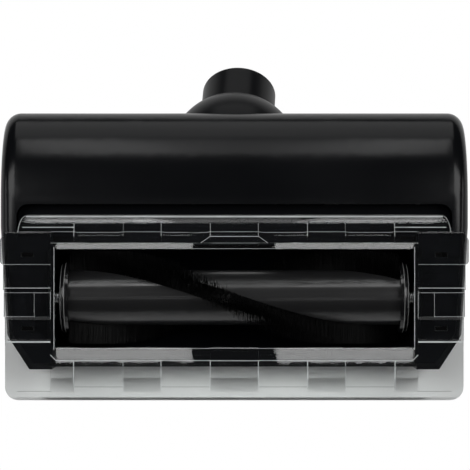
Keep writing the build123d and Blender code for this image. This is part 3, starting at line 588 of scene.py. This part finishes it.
def ring_field(offsets, radii, tube):
    """Thin rings about the roll's line, one per offset along it and radius.

    With u round the roll and v round the tube, a point is the centre plus (offset + tube sin v) along x and
    (radius + tube cos v) times (cos u, sin u) across it.
    """
    u = np.linspace(0, 2 * np.pi, 96, endpoint=False)
    v = np.linspace(0, 2 * np.pi, 8, endpoint=False)
    ring, turn, round_tube = np.meshgrid(np.arange(len(offsets)), u, v, indexing="ij")
    along = np.array(offsets)[ring] + tube * np.sin(round_tube)
    reach = np.array(radii)[ring] + tube * np.cos(round_tube)
    verts = np.array(ROLL_CENTRE) + sole_offsets(along, reach * np.cos(turn), reach * np.sin(turn))
    index = np.arange(verts[..., 0].size).reshape(ring.shape)
    next_u = np.roll(index, -1, axis=1)
    faces = np.stack([index, next_u, np.roll(next_u, -1, axis=2), np.roll(index, -1, axis=2)], axis=-1)
    return verts.reshape(-1, 3), faces.reshape(-1, 4).tolist()


class BRUSHHEAD_OT_roll(bpy.types.Operator):
    """Dress the roll's core, caps, shafts, bearings and pulley, and add painted highlight rims on the caps"""

    bl_idname = "brushhead.roll"
    bl_label = "Brush roll"

    def execute(self, context):
        look = context.scene.brushhead_roll
        core = moulded_plastic(
            "roll_core", look.core_colour, roughness=0.32, grain=0.007, bump=0.5, specular=0.34)
        gloss_coat(core, weight=0.6, smoothest=0.05, roughest=0.20)
        caps = moulded_plastic("roll_caps", look.cap_colour, roughness=0.16, grain=0.0008, bump=0.02)
        nylon = moulded_plastic("pale_nylon", (0.72, 0.70, 0.65), roughness=0.45, grain=0.0008)
        steel = brushed_metal("shaft_steel", (0.62, 0.62, 0.64), roughness=0.3)
        finishes = {
            "brush_core": core, "end_cap_left": caps, "end_cap_right": caps, "roll_pulley": nylon,
            "roll_shaft_left": steel, "roll_shaft_right": steel,
            "bearing_left": steel, "bearing_right": steel,
        }
        for node, material in finishes.items():
            smooth_copy(node, material)
        # Pale thin rings: painted highlights on the caps' rounded edges
        rims = moulded_plastic("cap_rim_highlights", look.rim_highlight_colour, roughness=0.2, grain=0.002, bump=0.0)
        for hand, side_name in ((-1, "left"), (1, "right")):
            verts, faces = ring_field([hand * place for place in RIM_PLACES], RIM_RADII, RIM_TUBE)
            add_mesh(f"cap_rims_{side_name}", verts, faces, rims, "brush_roll").data.shade_smooth()
        return {"FINISHED"}


def bristle_field(phase, look, seed):
    """Bristles of one helical strip, as three-sided tapering rods.

    Each bristle starts on the helix angle = phase + twist * x, at the root radius, a little beside it by
    its row. It runs outward to the tip radius and leans and curves by small random angles, so its corner j
    at step k is the centre line's point plus thickness times (cos, sin) of j thirds of a turn.
    """
    rng = np.random.default_rng(seed)
    along = np.arange(-STRIP_HALF_LENGTH, STRIP_HALF_LENGTH, look.bristle_pitch)
    x, row = [a.ravel() for a in np.meshgrid(along, np.linspace(-0.5, 0.5, look.rows), indexing="ij")]
    count = len(x)
    x = x + rng.normal(0, look.bristle_pitch * PITCH_SPREAD, count)
    beside = row * STRIP_WIDTH * ROWS_SHARE + rng.normal(0, STRIP_WIDTH * WIDTH_SPREAD, count)
    angle = np.radians(phase + look.turn_per_length * x)
    steps = np.linspace(0, 1, 4)
    lean = rng.normal(0, LEAN_SPREAD, count)
    slope = rng.normal(0, SLOPE_SPREAD, count)
    shorter = 1 - LENGTH_LOSS * rng.random(count)
    reach = STRIP_ROOT + (STRIP_TIP - STRIP_ROOT) * steps[None, :] * shorter[:, None]
    turn = angle[:, None] + beside[:, None] / STRIP_ROOT + lean[:, None] * steps[None, :] ** 2
    middle_x = x[:, None] + slope[:, None] * (reach - STRIP_ROOT)
    corner = 2 * np.pi * np.arange(3) / 3
    thick = look.bristle_thick * 0.5 * (1 - TAPER * steps)
    thick_x = thick[None, :, None] * np.cos(corner)
    thick_round = thick[None, :, None] * np.sin(corner)
    verts = np.array(ROLL_CENTRE) + sole_offsets(
        middle_x[:, :, None] + thick_x,
        (reach * np.cos(turn))[:, :, None] - thick_round * np.sin(turn)[:, :, None],
        (reach * np.sin(turn))[:, :, None] + thick_round * np.cos(turn)[:, :, None])
    base = (np.arange(count) * 12)[:, None, None]
    k = (np.arange(3) * 3)[None, :, None]
    j = np.arange(3)[None, None, :]
    following = (j + 1) % 3
    quads = np.stack(
        [base + k + j, base + k + following, base + k + 3 + following, base + k + 3 + j], axis=-1)
    tips = base[:, 0] + np.array([9, 10, 11])
    roots = base[:, 0] + np.array([2, 1, 0])
    return verts.reshape(-1, 3), quads.reshape(-1, 4).tolist() + tips.tolist() + roots.tolist()


class BRUSHHEAD_OT_bristles(bpy.types.Operator):
    """Grow the bristles of both helical strips"""

    bl_idname = "brushhead.bristles"
    bl_label = "Bristles"

    def execute(self, context):
        look = context.scene.brushhead_roll
        nylon = moulded_plastic(
            "bristle_nylon", look.bristle_colour, roughness=0.5, grain=0.002, bump=0.0, specular=0.12)
        for number, phase in enumerate(STRIP_PHASES, start=1):
            node = f"bristle_strip_{number}"
            verts, faces = bristle_field(phase, look, seed=SEED_BASE + number)
            obj = add_mesh(f"bristles_{number}", verts, faces, nylon, "brush_roll")
            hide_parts(node)
        return {"FINISHED"}


class BRUSHHEAD_OT_drive(bpy.types.Operator):
    """Dress the motor, its shaft, the belt and what holds them"""

    bl_idname = "brushhead.drive"
    bl_label = "Motor and belt"

    def execute(self, context):
        steel = brushed_metal("motor_steel", (0.55, 0.55, 0.56), roughness=0.34)
        nylon = moulded_plastic("motor_nylon", (0.70, 0.68, 0.62), roughness=0.45, grain=0.0008)
        rubber = moulded_plastic(
            "drive_rubber", (0.02, 0.02, 0.02), roughness=0.7, grain=0.0010, bump=0.3)
        finishes = {
            "motor_can": steel, "motor_shaft": steel, "motor_bracket": steel, "motor_screws": steel,
            "chassis_screws": steel, "tilt_pins": steel, "swivel_pins": steel, "motor_end_bell": nylon,
            "motor_pulley": nylon, "drive_belt": rubber, "motor_pad": rubber,
        }
        for node, material in finishes.items():
            smooth_copy(node, material)
        return {"FINISHED"}


def area_lamp(name, place, aim, size, power):
    """Rectangular lamp panel of so many watts at a place over the sole, facing the point aim on it"""
    data = bpy.data.lights.new(name, "AREA")
    data.shape = "RECTANGLE"
    data.size, data.size_y = size
    data.energy = power
    lamp = bpy.data.objects.new(name, data)
    lamp.location = spot(*place)
    lamp.rotation_euler = (spot(*aim, 0) - spot(*place)).to_track_quat("-Z", "Y").to_euler()
    bpy.context.collection.objects.link(lamp)


def white_to_camera(nodes, links, shaded, output_type, white_kind, white_output):
    """Shows plain white where the camera looks straight at it, and the shaded surface to all other light"""
    path = nodes.new("ShaderNodeLightPath")
    white = nodes.new(white_kind)
    white.inputs["Color"].default_value = (1, 1, 1, 1)
    white.inputs["Strength"].default_value = 1.0
    mix = nodes.new("ShaderNodeMixShader")
    output = next(n for n in nodes if n.type == output_type)
    links.new(path.outputs["Is Camera Ray"], mix.inputs["Fac"])
    links.new(shaded, mix.inputs[1])
    links.new(white.outputs[white_output], mix.inputs[2])
    links.new(mix.outputs["Shader"], output.inputs["Surface"])


class BRUSHHEAD_OT_stage(bpy.types.Operator):
    """Lay the floor, hang the lamps and set the camera"""

    bl_idname = "brushhead.stage"
    bl_label = "Floor, lamps and camera"

    def execute(self, context):
        look = context.scene.brushhead_stage
        bpy.ops.mesh.primitive_plane_add(size=FLOOR_SIZE, location=(0, 0, -FLOOR_GAP))
        floor = context.object
        floor.name = "floor"
        material, nodes, links, shader = new_material("floor_paper")
        shader.inputs["Base Color"].default_value = (*look.floor_colour, 1)
        shader.inputs["Roughness"].default_value = 0.9
        shader.inputs["Specular IOR Level"].default_value = 0.2
        white_to_camera(
            nodes, links, shader.outputs["BSDF"], "OUTPUT_MATERIAL", "ShaderNodeEmission", "Emission")
        paint(floor, material)

        world = bpy.data.worlds.new("studio")
        world.use_nodes = True
        nodes = world.node_tree.nodes
        fill = nodes["Background"]
        fill.inputs["Color"].default_value = (1, 1, 1, 1)
        fill.inputs["Strength"].default_value = look.fill
        white_to_camera(
            nodes, world.node_tree.links, fill.outputs["Background"], "OUTPUT_WORLD",
            "ShaderNodeBackground", "Background")
        context.scene.world = world

        # Lamps on both sides: name, place, aim, size and power
        pairs = (
            ("side_panel", (0.62, 0.28, 0.75), (0.10, 0.0), (0.50, 0.70), look.side_power),
            ("rear_panel", (0.165, 0.90, 0.53), (0.07, 0.076), (0.15, 0.38), look.rear_power),
            ("low_panel", (0.85, 0.0, 0.18), (0.0, 0.0), (0.5, 0.12), look.low_power),
        )
        for hand in (-1, 1):
            strip_x = hand * LAMP_STRIP_X
            for edge, (depth, width) in LAMP_STRIPS.items():
                area_lamp(
                    f"frame_strip_{edge}_{hand}", (strip_x, depth, LAMP_STRIP_Z), (strip_x, depth),
                    (LAMP_STRIP_LENGTH, width), look.strip_power * width)
            for name, (x, y, z), (aim_x, aim_y), size, power in pairs:
                area_lamp(f"{name}_{hand}", (hand * x, y, z), (hand * aim_x, aim_y), size, power)
        area_lamp(
            "rear_panel_middle", (-0.02, 0.90, 0.53), (0, 0.076), (0.18, 0.38),
            look.rear_power * MIDDLE_SHARE)
        area_lamp("rear_wall", (0, 1.05, -0.01), (0, 0.09), (0.9, 0.68), look.wall_power)

        camera_data = bpy.data.cameras.new("camera")
        camera = bpy.data.objects.new("camera", camera_data)
        bpy.context.collection.objects.link(camera)
        camera.location = spot(CAMERA_X, CAMERA_Y, look.camera_distance)
        camera.rotation_mode = "QUATERNION"
        camera.rotation_quaternion = Matrix((SOLE_X, SOLE_Y, SOLE_Z)).transposed().to_quaternion()
        camera_data.sensor_width = SENSOR_WIDTH
        camera_data.lens = SENSOR_WIDTH * look.camera_distance * PIXELS_PER_METRE / PIXELS_ACROSS
        camera_data.clip_end = 20
        context.scene.camera = camera
        context.scene.view_settings.view_transform = "Standard"
        return {"FINISHED"}


STEPS = (
    BRUSHHEAD_OT_housing, BRUSHHEAD_OT_chamber, BRUSHHEAD_OT_plate, BRUSHHEAD_OT_plate_lines,
    BRUSHHEAD_OT_roll, BRUSHHEAD_OT_bristles, BRUSHHEAD_OT_drive, BRUSHHEAD_OT_stage,
)


class BRUSHHEAD_PT_panel(bpy.types.Panel):
    """Lists the steps that dress the brush head"""

    bl_idname = "BRUSHHEAD_PT_panel"
    bl_label = "Brush head"
    bl_space_type = "VIEW_3D"
    bl_region_type = "UI"
    bl_category = "Brush head"

    def draw(self, context):
        for step in STEPS:
            self.layout.operator(step.bl_idname)


LOOKS = {
    "brushhead_housing": HousingLook, "brushhead_clear": ClearLook,
    "brushhead_roll": RollLook, "brushhead_stage": StageLook,
}


def register():
    """Adds the property groups, the operators and the panel to the program"""
    for group in (*LOOKS.values(), *STEPS, BRUSHHEAD_PT_panel):
        bpy.utils.register_class(group)
    for name, group in LOOKS.items():
        setattr(bpy.types.Scene, name, bpy.props.PointerProperty(type=group))


def unregister():
    """Takes away what register added"""
    for name in LOOKS:
        delattr(bpy.types.Scene, name)
    for group in (BRUSHHEAD_PT_panel, *reversed(STEPS), *reversed(list(LOOKS.values()))):
        bpy.utils.unregister_class(group)


def main():
    for name in ("Cube", "Light", "Camera"):
        if name in bpy.data.objects:
            bpy.data.objects.remove(bpy.data.objects[name])
    register()
    for step in STEPS:
        group, action = step.bl_idname.split(".")
        getattr(getattr(bpy.ops, group), action)()


if __name__ == "__main__":
    main()
